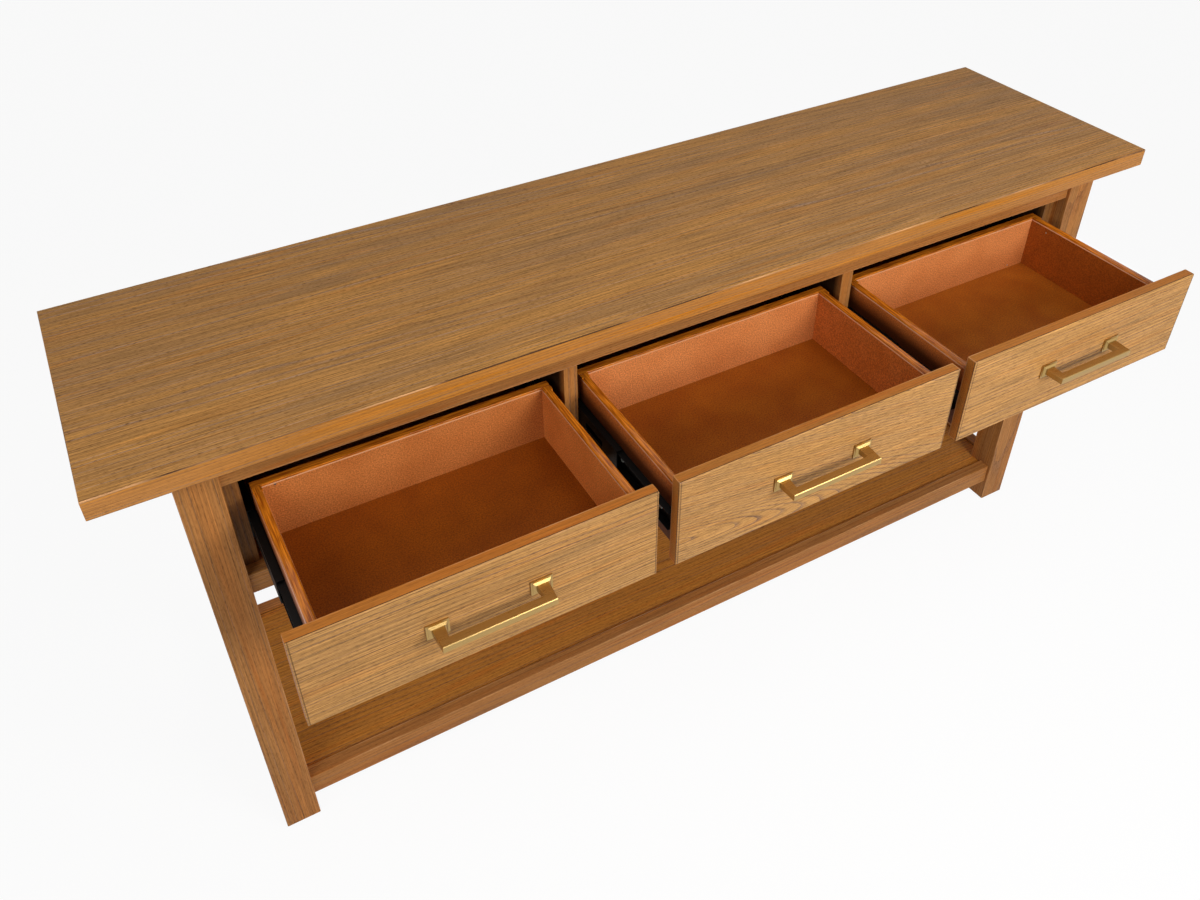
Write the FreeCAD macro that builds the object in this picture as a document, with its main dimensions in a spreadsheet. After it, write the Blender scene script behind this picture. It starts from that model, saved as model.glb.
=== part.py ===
import FreeCAD, Part
import os
import re
import Sketcher

# Low console with three drawers over an open shelf. Millimetres, +Z up, front towards -Y.
# The origin lies on the floor below the middle of the top. The drawers are drawn fully open.

# Driving sizes
SIZES = {
    "top_length": 1676,
    "top_depth": 412,
    "overall_height": 762,
    "top_thickness": 30,
    "edge_strip": 3,
    "top_upper_round": 1.5,
    "top_lower_round": 2.8,
    "side_overhang": 90,
    "front_overhang": 15,
    "leg_size": 52,
    "leg_round": 1.5,
    "foot_bevel": 1.2,
    "glide_radius": 11,
    "glide_height": 4,
    "rail_recess": 6,
    "rail_thickness": 20,
    "rail_round": 1,
    "top_rail_height": 33,
    "bay_height": 154,
    "bottom_rail_height": 33,
    "case_bottom_thickness": 12,
    "side_panel_thickness": 18,
    "back_panel_thickness": 12,
    "filler_thickness": 20,
    "filler_setback": 3,
    "divider_thickness": 20,
    "corner_block_leg": 46,
    "shelf_height": 90,
    "shelf_rail_height": 41,
    "shelf_drop": 5,
    "shelf_thickness": 15,
    "cleat_size": 14,
    "cleat_end_gap": 6,
    "front_thickness": 16,
    "front_side_gap": 4,
    "front_bottom_gap": 4,
    "front_top_gap": 9,
    "front_round": 2,
    "drawer_travel": 250,
    "box_tail": 10,
    "box_lift": 13,
    "box_drop": 25,
    "box_wall": 12,
    "box_top_round": 4.5,
    "round_stop": 9,
    "bottom_thickness": 5,
    "bottom_lift": 9,
    "groove_depth": 6,
    "groove_play": 0.2,
    "slide_thickness": 12.7,
    "slide_height": 45,
    "slide_length": 250,
    "slide_lift": 45,
    "slide_setback": 5,
    "slide_gauge": 1.2,
    "slide_play": 0.4,
    "slide_lip": 3.6,
    "middle_lip": 2.4,
    "ball_cage_length": 90,
    "ball_cage_end": 12,
    "slide_hole_radius": 2.3,
    "slide_hole_end": 28,
    "slide_slot_length": 46,
    "slide_slot_height": 9,
    "slide_stop_height": 16,
    "pull_spacing": 128,
    "pull_post_width": 12,
    "pull_root_width": 15,
    "pull_bar_height": 10,
    "pull_bar_depth": 12,
    "pull_projection": 32,
    "pull_edge": 0.8,
    "rosette_width": 28,
    "rosette_height": 22,
    "rosette_base": 2,
    "rosette_border": 2.4,
    "rosette_rise": 3,
    "rosette_bevel": 2.6,
    "rosette_play": 0.15,
    "screw_radius": 2,
    "screw_play": 0.15,
    "screw_depth": 12,
    "screw_tip_gap": 1,
    "screw_head_radius": 4,
    "screw_head_height": 2.5,
}

# Places that follow from the sizes, as distances from the middle plane or from the floor
PLACES = {
    "leg_out_x": "top_length / 2 - side_overhang",
    "leg_in_x": "leg_out_x - leg_size",
    "leg_front_y": "top_depth / 2 - front_overhang",
    "leg_in_y": "leg_front_y - leg_size",
    "rail_face_y": "leg_front_y - rail_recess",
    "rail_back_y": "rail_face_y - rail_thickness",
    "panel_out_x": "leg_out_x - rail_recess",
    "back_panel_y": "rail_face_y - back_panel_thickness",
    "top_under_z": "overall_height - top_thickness",
    "bay_top_z": "top_under_z - top_rail_height",
    "bay_floor_z": "bay_top_z - bay_height",
    "case_under_z": "bay_floor_z - bottom_rail_height",
    "bay_width": "(2 * leg_in_x - 2 * divider_thickness) / 3",
    "filler_front_y": "rail_face_y - front_thickness - filler_setback",
    "front_width": "bay_width - 2 * front_side_gap",
    "front_height": "bay_height - front_bottom_gap - front_top_gap",
    "front_z": "bay_floor_z + front_bottom_gap",
    "front_face_y": "-rail_face_y - drawer_travel",
    "box_front_y": "front_face_y + front_thickness",
    "box_z": "front_z + box_lift",
    "box_height": "front_height - box_lift - box_drop",
    "box_length": "slide_setback + slide_length + box_tail",
    "side_length": "box_length - box_wall",
    "slide_front_y": "-rail_face_y + front_thickness + slide_setback",
    "slide_z": "box_z + slide_lift",
    "cabinet_half": "slide_height / 2",
    "cabinet_lip": "slide_thickness - 2 * (slide_gauge + slide_play)",
    "outer_balls": "cabinet_lip - slide_gauge - slide_play",
    "middle_half": "cabinet_half - slide_lip - slide_play",
    "middle_web": "slide_gauge + slide_play",
    "middle_edge": "slide_thickness - slide_gauge - slide_play",
    "inner_balls": "middle_edge - slide_gauge - slide_play",
    "drawer_half": "middle_half - slide_gauge - middle_lip - slide_play",
    "drawer_edge": "middle_web + slide_gauge + slide_play",
    "shelf_top_z": "shelf_height - shelf_drop",
    "shelf_under_z": "shelf_top_z - shelf_thickness",
    "rosette_depth": "rosette_base + rosette_rise",
}

# Each drawer: middle of its front, and the two faces that its slides are screwed to
DRAWERS = {
    "left": (
        "-(bay_width + divider_thickness)",
        "-leg_in_x + filler_thickness",
        "-bay_width / 2 - divider_thickness",
    ),
    "middle": ("0", "-bay_width / 2", "bay_width / 2"),
    "right": (
        "bay_width + divider_thickness",
        "bay_width / 2 + divider_thickness",
        "leg_in_x - filler_thickness",
    ),
}

doc = FreeCAD.newDocument("Lowboy")
sheet = doc.addObject("Spreadsheet::Sheet", "Sizes")
for row, (alias, value) in enumerate(SIZES.items(), start=1):
    sheet.set("A%d" % row, alias)
    sheet.set("B%d" % row, str(value))
    sheet.setAlias("B%d" % row, alias)
doc.recompute()

pieces = []


def spell(text):
    """Write a short formula as an expression on the sheet's cells."""
    def swap(match):
        word = match.group(0)
        if word in PLACES:
            return "(" + spell(PLACES[word]) + ")"
        return "Sizes." + word if word in SIZES else word
    return re.sub(r"[a-z_]+", swap, str(text))


def bind(obj, **formulas):
    """Tie properties of an object to formulas; a double underscore stands for a dot."""
    for name, text in formulas.items():
        obj.setExpression(name.replace("__", "."), spell(text))


def place(obj, corner):
    """Put an object's own origin at a point given by three formulas."""
    x, y, z = corner
    bind(obj, Placement__Base__x=x, Placement__Base__y=y, Placement__Base__z=z)


def keep(obj, label):
    """Name a finished piece, to be checked and written at the end."""
    obj.Label = label
    pieces.append(obj)
    return obj


def new_body(corner):
    body = doc.addObject("PartDesign::Body", "Body")
    place(body, corner)
    return body


def new_sketch(body, plane):
    sketch = body.newObject("Sketcher::SketchObject", "Sketch")
    support = [item for item in body.Origin.OriginFeatures if item.Role == plane]
    sketch.AttachmentSupport = [(support[0], "")]
    sketch.MapMode = "FlatFace"
    return sketch


def hold(sketch, kind, geometry, end, start, formula):
    """Fix one coordinate of a point from the sketch's origin."""
    number = sketch.addConstraint(Sketcher.Constraint(kind, -1, 1, geometry, end, start))
    sketch.setExpression("Constraints[%d]" % number, spell(formula))


def outline(sketch, points):
    """Draw a closed outline of straight lines through points given by formulas."""
    count = len(points)
    first = sketch.GeometryCount
    start = [FreeCAD.Vector(10 * min(i, count - i), 7 * i, 0) for i in range(count)]
    for i in range(count):
        sketch.addGeometry(Part.LineSegment(start[i], start[(i + 1) % count]), False)
    for i in range(count):
        following = first + (i + 1) % count
        sketch.addConstraint(Sketcher.Constraint("Coincident", first + i, 2, following, 1))
    for i, (x, y) in enumerate(points):
        hold(sketch, "DistanceX", first + i, 1, start[i].x, x)
        hold(sketch, "DistanceY", first + i, 1, start[i].y, y)


def circle(sketch, x, y, radius):
    """Draw a circle whose centre and radius are given by formulas."""
    number = sketch.GeometryCount
    sketch.addGeometry(Part.Circle(FreeCAD.Vector(1, 1, 0), FreeCAD.Vector(0, 0, 1), 1), False)
    hold(sketch, "DistanceX", number, 3, 1, x)
    hold(sketch, "DistanceY", number, 3, 1, y)
    radial = sketch.addConstraint(Sketcher.Constraint("Radius", number, 1))
    sketch.setExpression("Constraints[%d]" % radial, spell(radius))


def pad(body, sketch, length, back=False):
    """Thicken a sketch; back turns the direction round."""
    feature = body.newObject("PartDesign::Pad", "Pad")
    feature.Profile = sketch
    bind(feature, Length=length)
    feature.Reversed = back
    body.Tip = feature
    return feature


def pocket(body, sketch, length, back=False):
    """Cut a sketch out of the body, and make sure that something was cut."""
    doc.recompute()
    before = body.Shape.Volume
    feature = body.newObject("PartDesign::Pocket", "Pocket")
    feature.Profile = sketch
    bind(feature, Length=length)
    feature.Reversed = back
    body.Tip = feature
    doc.recompute()
    if body.Shape.Volume >= before:
        raise RuntimeError("a pocket cut nothing")
    return feature


def dress(body, kind, size, wanted):
    """Round or bevel the edges of a body whose middle point and direction are wanted."""
    doc.recompute()
    base = body.Tip
    box = base.Shape.BoundBox
    names = []
    for number, edge in enumerate(base.Shape.Edges, start=1):
        middle = edge.CenterOfMass
        along = edge.tangentAt(edge.FirstParameter)
        if wanted(middle, along, box):
            names.append("Edge%d" % number)
    feature = body.newObject("PartDesign::" + kind, kind)
    feature.Base = (base, names)
    bind(feature, **{"Radius" if kind == "Fillet" else "Size": size})
    body.Tip = feature
    return feature


def near(a, b):
    return abs(a - b) < 1e-4


def board(corner, size):
    """A squared board from its lowest corner, its three sizes given by formulas."""
    body = new_body(corner)
    sketch = new_sketch(body, "XY_Plane")
    outline(sketch, [(0, 0), (size[0], 0), (size[0], size[1]), (0, size[1])])
    pad(body, sketch, size[2])
    return body


def slab(plane, corner, points, thickness, back=False):
    """A board cut to an outline in one of its own planes."""
    body = new_body(corner)
    sketch = new_sketch(body, plane)
    outline(sketch, points)
    pad(body, sketch, thickness, back)
    return body


def group(label, members):
    """One node of several separate solids."""
    compound = doc.addObject("Part::Compound", "Group")
    compound.Links = members
    return keep(compound, label)


# Top: veneered board with a mitred strip along each edge
def make_top():
    inner_x = "top_length / 2 - edge_strip"
    inner_y = "top_depth / 2 - edge_strip"
    keep(board(("-(%s)" % inner_x, "-(%s)" % inner_y, "top_under_z"),
               ("2 * (%s)" % inner_x, "2 * (%s)" % inner_y, "top_thickness")), "top_panel")
    long_strip = [
        ("-top_length / 2", 0),
        ("top_length / 2", 0),
        (inner_x, "edge_strip"),
        ("-(%s)" % inner_x, "edge_strip"),
    ]
    short_strip = [
        (0, "-top_depth / 2"),
        ("edge_strip", "-(%s)" % inner_y),
        ("edge_strip", inner_y),
        (0, "top_depth / 2"),
    ]
    strips = (
        ("top_front_lipping", long_strip, (0, "-top_depth / 2", "top_under_z"), 1),
        ("top_back_lipping", long_strip, (0, "top_depth / 2", "top_under_z"), -1),
        ("top_left_lipping", short_strip, ("-top_length / 2", 0, "top_under_z"), 1),
        ("top_right_lipping", short_strip, ("top_length / 2", 0, "top_under_z"), -1),
    )
    for label, points, corner, way in strips:
        turned = [("%d * (%s)" % (way, x), "%d * (%s)" % (way, y)) for x, y in points]
        strip = slab("XY_Plane", corner, turned, "top_thickness")
        flat = "y" if points is long_strip else "x"
        outside = {
            "top_upper_round": lambda m, a, box: near(getattr(m, flat), 0) and near(m.z, box.ZMax),
            "top_lower_round": lambda m, a, box: near(getattr(m, flat), 0) and near(m.z, box.ZMin),
        }
        for size, wanted in outside.items():
            dress(strip, "Fillet", "min(%s; 0.95 * edge_strip)" % size, wanted)
        keep(strip, label)


# Legs: straight square posts with eased arrises and a small bevel round the foot
def make_legs():
    glides = []
    for side, x in (("left", "-leg_out_x"), ("right", "leg_in_x")):
        for end, y in (("front", "-leg_front_y"), ("back", "leg_in_y")):
            leg = board((x, y, "glide_height"), ("leg_size", "leg_size", "top_under_z - glide_height"))
            dress(leg, "Fillet", "leg_round", lambda m, a, box: near(abs(a.z), 1))
            bevel = "min(foot_bevel; 0.9 * leg_round)"
            dress(leg, "Chamfer", bevel, lambda m, a, box: near(m.z, box.ZMin))
            keep(leg, "%s_%s_leg" % (end, side))
            glide = doc.addObject("Part::Cylinder", "Glide")
            bind(glide, Radius="glide_radius", Height="glide_height")
            place(glide, ("%s + leg_size / 2" % x, "%s + leg_size / 2" % y, 0))
            glides.append(glide)
    group("leg_glides", glides)


def notched(half_width, front, back):
    """Outline of a panel between the side pieces, with its corners cut out round the legs."""
    ring = []
    for way_x, way_y, depth in ((1, 1, back), (-1, 1, back), (-1, -1, front), (1, -1, front)):
        corner = [(half_width, "leg_in_y"), ("leg_in_x", "leg_in_y"), ("leg_in_x", depth)]
        if way_x != way_y:
            corner.reverse()
        ring += [("%d * (%s)" % (way_x, x), "%d * (%s)" % (way_y, y)) for x, y in corner]
    return ring


# Case: rails, side and back panels, bottom, fillers and dividers
def make_case():
    between_legs = "2 * leg_in_x"
    for label, z, height in (("front_top_rail", "bay_top_z", "top_rail_height"),
                             ("front_bottom_rail", "case_under_z", "bottom_rail_height")):
        rail = board(("-leg_in_x", "-rail_face_y", z), (between_legs, "rail_thickness", height))
        dress(rail, "Fillet", "rail_round", lambda m, a, box: near(abs(a.x), 1) and near(m.y, box.YMin))
        keep(rail, label)
    case_height = "top_under_z - case_under_z"
    panel_in_x = "panel_out_x - side_panel_thickness"
    for label, x in (("left_side_panel", "-panel_out_x"), ("right_side_panel", panel_in_x)):
        size = ("side_panel_thickness", "2 * leg_in_y", case_height)
        keep(board((x, "-leg_in_y", "case_under_z"), size), label)
    size = (between_legs, "back_panel_thickness", case_height)
    keep(board(("-leg_in_x", "back_panel_y", "case_under_z"), size), "back_panel")
    floor = notched(panel_in_x, "rail_back_y", "back_panel_y")
    corner = (0, 0, "bay_floor_z - case_bottom_thickness")
    keep(slab("XY_Plane", corner, floor, "case_bottom_thickness"), "case_bottom")
    for label, x in (("left_filler", "-leg_in_x"), ("right_filler", "leg_in_x - filler_thickness")):
        keep(board((x, "-filler_front_y", "bay_floor_z"),
                   ("filler_thickness", "filler_front_y + rail_back_y", "bay_height")), label)
    depth = "rail_face_y + back_panel_y"
    height = "bay_height + top_rail_height"
    upright = [
        (0, 0),
        (depth, 0),
        (depth, height),
        ("rail_thickness", height),
        ("rail_thickness", "bay_height"),
        (0, "bay_height"),
    ]
    left = "-bay_width / 2 - divider_thickness"
    for label, x in (("left_divider", left), ("right_divider", "bay_width / 2")):
        corner = (x, "-rail_face_y", "bay_floor_z")
        keep(slab("YZ_Plane", corner, upright, "divider_thickness"), label)
    blocks = []
    for way_x in (-1, 1):
        for way_y, y in ((-1, "rail_back_y"), (1, "back_panel_y")):
            along = "%d * corner_block_leg" % -way_x
            across = "%d * corner_block_leg" % -way_y
            corner = ("%d * leg_in_x" % way_x, "%d * (%s)" % (way_y, y), "bay_top_z")
            blocks.append(slab("XY_Plane", corner, [(0, 0), (along, 0), (0, across)], "top_rail_height"))
    group("corner_blocks", blocks)


# Lower shelf: four rails round a panel that lies on cleats, a little below the rails' tops
def make_shelf():
    z = "shelf_height - shelf_rail_height"
    front = board(("-leg_in_x", "-rail_face_y", z), ("2 * leg_in_x", "rail_thickness", "shelf_rail_height"))
    dress(front, "Fillet", "rail_round", lambda m, a, box: near(abs(a.x), 1) and near(m.y, box.YMin))
    keep(front, "shelf_front_rail")
    back = board(("-leg_in_x", "rail_back_y", z), ("2 * leg_in_x", "rail_thickness", "shelf_rail_height"))
    dress(back, "Fillet", "rail_round", lambda m, a, box: near(abs(a.x), 1) and near(m.y, box.YMax))
    keep(back, "shelf_back_rail")
    wide = "panel_out_x - rail_thickness"
    for label, x in (("shelf_left_rail", "-panel_out_x"), ("shelf_right_rail", wide)):
        keep(board((x, "-leg_in_y", z), ("rail_thickness", "2 * leg_in_y", "shelf_rail_height")), label)
    panel = notched(wide, "rail_back_y", "rail_back_y")
    keep(slab("XY_Plane", (0, 0, "shelf_under_z"), panel, "shelf_thickness"), "shelf_panel")
    cleats = []
    low = "shelf_under_z - cleat_size"
    long_half = "leg_in_x - cleat_end_gap"
    short_half = "leg_in_y - cleat_end_gap"
    for y in ("-rail_back_y", "rail_back_y - cleat_size"):
        size = ("2 * (%s)" % long_half, "cleat_size", "cleat_size")
        cleats.append(board(("-(%s)" % long_half, y, low), size))
    for x in ("-(%s)" % wide, "%s - cleat_size" % wide):
        size = ("cleat_size", "2 * (%s)" % short_half, "cleat_size")
        cleats.append(board((x, "-(%s)" % short_half, low), size))
    group("shelf_cleats", cleats)


# Telescopic slides: three rolled channels, one inside the other, with a row of balls in a cage above and
# below the two inner ones. Each half section is given as distances from the face that the slide is screwed
# to and from the slide's middle line.
CABINET_HALF = [
    ("0", "cabinet_half"),
    ("cabinet_lip", "cabinet_half"),
    ("cabinet_lip", "cabinet_half - slide_lip"),
    ("cabinet_lip - slide_gauge", "cabinet_half - slide_lip"),
    ("cabinet_lip - slide_gauge", "cabinet_half - slide_gauge"),
    ("slide_gauge", "cabinet_half - slide_gauge"),
]
MIDDLE_HALF = [
    ("middle_web", "middle_half"),
    ("middle_edge", "middle_half"),
    ("middle_edge", "middle_half - slide_gauge - middle_lip"),
    ("middle_edge - slide_gauge", "middle_half - slide_gauge - middle_lip"),
    ("middle_edge - slide_gauge", "middle_half - slide_gauge"),
    ("middle_web + slide_gauge", "middle_half - slide_gauge"),
]
DRAWER_HALF = [
    ("slide_thickness", "drawer_half"),
    ("drawer_edge", "drawer_half"),
    ("drawer_edge", "drawer_half - slide_gauge"),
    ("slide_thickness - slide_gauge", "drawer_half - slide_gauge"),
]


def channel(half, face, way, y):
    """One slide member along Y; way is 1 on the left face of a bay and -1 on the right one."""
    lower = [(x, "-(%s)" % z) for x, z in half]
    points = [("%d * (%s)" % (way, x), z) for x, z in lower + half[::-1]]
    return slab("XZ_Plane", (face, y, "slide_z"), points, "slide_length", back=True)


def add_cages(member, way, near_x, far_x, low, high):
    """Ball cages on a member's two flanges, near its back end, where it stays inside the next member."""
    cages = new_sketch(member, "XZ_Plane")
    bind(cages, AttachmentOffset__Base__z="-(slide_length - ball_cage_end - ball_cage_length)")
    for side in (-1, 1):
        corners = ((near_x, low), (far_x, low), (far_x, high), (near_x, high))
        outline(cages, [("%d * (%s)" % (way, x), "%d * (%s)" % (side, z)) for x, z in corners])
    pad(member, cages, "ball_cage_length", back=True)


def drill_web(member, way):
    """Screw holes through a member's web: one near each end and one in the middle."""
    holes = new_sketch(member, "YZ_Plane")
    for y in ("slide_hole_end", "slide_length / 2", "slide_length - slide_hole_end"):
        circle(holes, y, 0, "slide_hole_radius")
    pocket(member, holes, "slide_thickness", back=way > 0)


def slot_web(member, way):
    """Two long slots through the middle member's web."""
    slots = new_sketch(member, "YZ_Plane")
    for share in (1, 3):
        ends = ["%d * slide_length / 4 + %d * slide_slot_length / 2" % (share, side) for side in (-1, 1)]
        low, high = "-slide_slot_height / 2", "slide_slot_height / 2"
        outline(slots, [(ends[0], low), (ends[1], low), (ends[1], high), (ends[0], high)])
    pocket(member, slots, "slide_thickness", back=way > 0)


def add_stop(member, way):
    """A tab at the back of the cabinet member's web, bent across behind the sliding members."""
    tab = new_sketch(member, "XY_Plane")
    bind(tab, AttachmentOffset__Base__z="-slide_stop_height / 2")
    front, back = "slide_length + slide_play", "slide_length + slide_play + slide_gauge"
    across = "%d * (cabinet_lip - slide_gauge)" % way
    web = "%d * slide_gauge" % way
    points = [(0, "slide_length"), (web, "slide_length"), (web, front)]
    points += [(across, front), (across, back), (0, back)]
    outline(tab, points)
    pad(member, tab, "slide_stop_height")


def make_slides(name, left_face, right_face):
    members = {"cabinet": [], "middle": [], "drawer": []}
    for face, way in ((left_face, 1), (right_face, -1)):
        cabinet = channel(CABINET_HALF, face, way, "slide_front_y")
        add_stop(cabinet, way)
        drill_web(cabinet, way)
        members["cabinet"].append(cabinet)
        middle = channel(MIDDLE_HALF, face, way, "slide_front_y - drawer_travel / 2")
        add_cages(middle, way, "middle_web + slide_gauge", "outer_balls", "middle_half",
                  "cabinet_half - slide_gauge - slide_play")
        slot_web(middle, way)
        members["middle"].append(middle)
        drawer = channel(DRAWER_HALF, face, way, "slide_front_y - drawer_travel")
        add_cages(drawer, way, "drawer_edge", "inner_balls", "drawer_half",
                  "middle_half - slide_gauge - slide_play")
        drill_web(drawer, way)
        members["drawer"].append(drawer)
    for stage, pair in members.items():
        group("%s_%s_slides" % (name, stage), pair)


# Drawer box: sides grooved for the bottom, with stopped rounds along their tops, and a full-width back
def make_box(name, left_face, right_face):
    left = "%s + slide_thickness" % left_face
    right = "%s - slide_thickness" % right_face
    groove_low = "bottom_lift - groove_play"
    groove_high = "bottom_lift + bottom_thickness + groove_play"
    section = [
        ("0", "0"),
        ("box_wall", "0"),
        ("box_wall", groove_low),
        ("box_wall - groove_depth", groove_low),
        ("box_wall - groove_depth", groove_high),
        ("box_wall", groove_high),
        ("box_wall", "box_height"),
        ("0", "box_height"),
    ]
    rounded = "side_length - round_stop"
    for hand, face, way in (("left", left, 1), ("right", right, -1)):
        points = [("%d * (%s)" % (way, x), z) for x, z in section]
        side = slab("XZ_Plane", (face, "box_front_y", "box_z"), points, rounded, back=True)
        dress(side, "Fillet", "min(box_top_round; 0.45 * box_wall)",
              lambda m, a, box: near(abs(a.y), 1) and near(m.z, box.ZMax))
        end = new_sketch(side, "XZ_Plane")
        bind(end, AttachmentOffset__Base__z="-(%s)" % rounded)
        outline(end, points)
        pad(side, end, "round_stop", back=True)
        keep(side, "%s_drawer_%s_side" % (name, hand))
    width = "(%s) - (%s)" % (right, left)
    profile = [
        ("0", "0"),
        ("0", groove_low),
        ("groove_depth", groove_low),
        ("groove_depth", groove_high),
        ("0", groove_high),
        ("0", "box_height"),
        ("box_wall", "box_height"),
        ("box_wall", "0"),
    ]
    back = slab("YZ_Plane", (left, "box_front_y + side_length", "box_z"), profile, width)
    dress(back, "Fillet", "rail_round", lambda m, a, box: near(abs(a.x), 1) and near(m.z, box.ZMax))
    keep(back, "%s_drawer_back" % name)
    inset = "box_wall - groove_depth + groove_play"
    corner = ("%s + %s" % (left, inset), "box_front_y", "box_z + bottom_lift")
    length = "side_length + groove_depth - groove_play"
    size = ("%s - 2 * (%s)" % (width, inset), length, "bottom_thickness")
    keep(board(corner, size), "%s_drawer_bottom" % name)


# Drawer front, drilled for the pull, and the pull itself
def make_front(name, middle):
    corner = ("%s - front_width / 2" % middle, "front_face_y", "front_z")
    front = board(corner, ("front_width", "front_thickness", "front_height"))
    dress(front, "Fillet", "front_round", lambda m, a, box: near(m.y, box.YMin))
    holes = new_sketch(front, "XZ_Plane")
    for way in (-1, 1):
        x = "front_width / 2 + %d * pull_spacing / 2" % way
        circle(holes, x, "front_height / 2", "screw_radius + screw_play")
    pocket(front, holes, "front_thickness")
    keep(front, "%s_drawer_front" % name)


def make_pull(name, middle):
    seat = (middle, "front_face_y", "front_z + front_height / 2")
    end = [
        ("pull_spacing / 2 - pull_post_width / 2", "pull_bar_depth - pull_projection"),
        ("pull_spacing / 2 - pull_root_width / 2", "-rosette_depth"),
        ("pull_spacing / 2 - pull_root_width / 2", "0"),
        ("pull_spacing / 2 + pull_root_width / 2", "0"),
        ("pull_spacing / 2 + pull_root_width / 2", "-rosette_depth"),
        ("pull_spacing / 2 + pull_post_width / 2", "-pull_projection"),
    ]
    points = end + [("-(%s)" % x, y) for x, y in end[::-1]]
    low = "%s - pull_bar_height / 2" % seat[2]
    bar = slab("XY_Plane", (seat[0], seat[1], low), points, "pull_bar_height")
    dress(bar, "Chamfer", "pull_edge", lambda m, a, box: not near(m.y, box.YMax) and near(a.z, 0))
    bores = new_sketch(bar, "XZ_Plane")
    for way in (-1, 1):
        circle(bores, "%d * pull_spacing / 2" % way, "pull_bar_height / 2", "screw_radius + screw_play")
    pocket(bar, bores, "screw_depth", back=True)
    keep(bar, "%s_pull_bar" % name)
    rosettes = []
    screws = []
    for way in (-1, 1):
        x = "%s + %d * pull_spacing / 2" % (middle, way)
        rosettes.append(rosette((x, seat[1], seat[2])))
        screws.append(pull_screw(x, seat[2]))
    group("%s_pull_rosettes" % name, rosettes)
    group("%s_pull_screws" % name, screws)


def oblong(half_x, half_z):
    low_x = "-(%s)" % half_x
    low_z = "-(%s)" % half_z
    return [(low_x, low_z), (half_x, low_z), (half_x, half_z), (low_x, half_z)]


def rosette(seat):
    """An oblong plate with a bevelled step, round the foot of a pull's post."""
    plate = slab("XZ_Plane", seat, oblong("rosette_width / 2", "rosette_height / 2"), "rosette_base")
    step = new_sketch(plate, "XZ_Plane")
    outline(step, oblong("rosette_width / 2 - rosette_border", "rosette_height / 2 - rosette_border"))
    pad(plate, step, "rosette_depth")
    bevel = "min(rosette_bevel; 0.9 * rosette_rise)"
    dress(plate, "Chamfer", bevel, lambda m, a, box: near(m.y, box.YMin))
    hole = new_sketch(plate, "XZ_Plane")
    outline(hole, oblong("pull_root_width / 2 + rosette_play", "pull_bar_height / 2 + rosette_play"))
    pocket(plate, hole, "rosette_depth", back=True)
    return plate


def pull_screw(x, z):
    """A pan-head screw through the front into a pull's post, turned about its own axis."""
    body = new_body((x, "box_front_y", z))
    sketch = new_sketch(body, "XY_Plane")
    tip = "-(front_thickness + screw_depth - screw_tip_gap)"
    outline(sketch, [
        (0, tip),
        ("screw_radius", tip),
        ("screw_radius", 0),
        ("screw_head_radius", 0),
        ("screw_head_radius", "screw_head_height / 2"),
        ("screw_head_radius / 2", "screw_head_height"),
        (0, "screw_head_height"),
    ])
    turn = body.newObject("PartDesign::Revolution", "Turn")
    turn.Profile = sketch
    turn.ReferenceAxis = (sketch, ["V_Axis"])
    turn.Angle = 360
    body.Tip = turn
    return body


def main():
    make_top()
    make_legs()
    make_case()
    make_shelf()
    for name, (middle, left_face, right_face) in DRAWERS.items():
        make_slides(name, left_face, right_face)
        make_box(name, left_face, right_face)
        make_front(name, middle)
        make_pull(name, middle)
    doc.recompute()
    for obj in doc.Objects:
        if "Invalid" in obj.State or "Error" in obj.State:
            raise RuntimeError("%s failed: %s" % (obj.Label, obj.State))
    bad = [piece.Label for piece in pieces if piece.Shape.isNull() or not piece.Shape.isValid()]
    if bad:
        raise RuntimeError("no valid shape: " + ", ".join(bad))
    os.makedirs("parts", exist_ok=True)
    for piece in pieces:
        piece.Shape.exportStep("parts/%s.step" % piece.Label)
        print(piece.Label, len(piece.Shape.Solids), round(piece.Shape.Volume))


main()
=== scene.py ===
# %% [markdown]
# # An oak lowboy with its drawers open
# The object is a long, low console of wire-brushed oak: a thick top, square legs, a shelf near the floor
# and three drawers on black telescopic slides. Its solids come from the imported model, at their real size
# and place. This lesson gives each solid its finish, adds the small hardware, and sets floor, light and
# camera. The first cell loads the solids and keeps their box.

# %% Load the solids
import math
import random

import bmesh
import bpy
from mathutils import Euler, Matrix, Vector


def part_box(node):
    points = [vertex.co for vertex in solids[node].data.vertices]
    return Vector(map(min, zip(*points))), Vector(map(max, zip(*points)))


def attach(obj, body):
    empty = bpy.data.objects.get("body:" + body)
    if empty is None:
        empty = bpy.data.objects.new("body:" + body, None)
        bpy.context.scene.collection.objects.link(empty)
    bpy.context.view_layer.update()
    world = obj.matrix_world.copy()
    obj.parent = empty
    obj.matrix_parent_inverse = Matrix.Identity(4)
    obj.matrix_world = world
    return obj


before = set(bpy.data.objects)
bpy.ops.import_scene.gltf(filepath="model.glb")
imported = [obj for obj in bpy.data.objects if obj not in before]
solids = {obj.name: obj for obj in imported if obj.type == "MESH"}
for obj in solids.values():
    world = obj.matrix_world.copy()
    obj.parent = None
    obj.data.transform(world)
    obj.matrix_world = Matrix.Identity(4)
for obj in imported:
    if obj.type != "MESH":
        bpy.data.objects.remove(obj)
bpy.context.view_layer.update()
scene = bpy.context.scene
DRAWERS = ("left", "middle", "right")
MM = 0.001

# %% [markdown]
# ## Two small helpers
# Colours are easiest to pick as the hex values that a screen shows, but shaders count in linear light, so
# one function converts them. A node tree could be wired line by line; one helper that adds a node with its
# settings and links keeps every material short enough to read. Where a node has several sockets of one
# name, they go by number: Map Range takes its value, the range it comes from and the range it goes to as 0
# to 4. A Mix of colours takes its share and its two colours as 0, 6 and 7, and gives the mixed colour as
# output 2.

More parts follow.
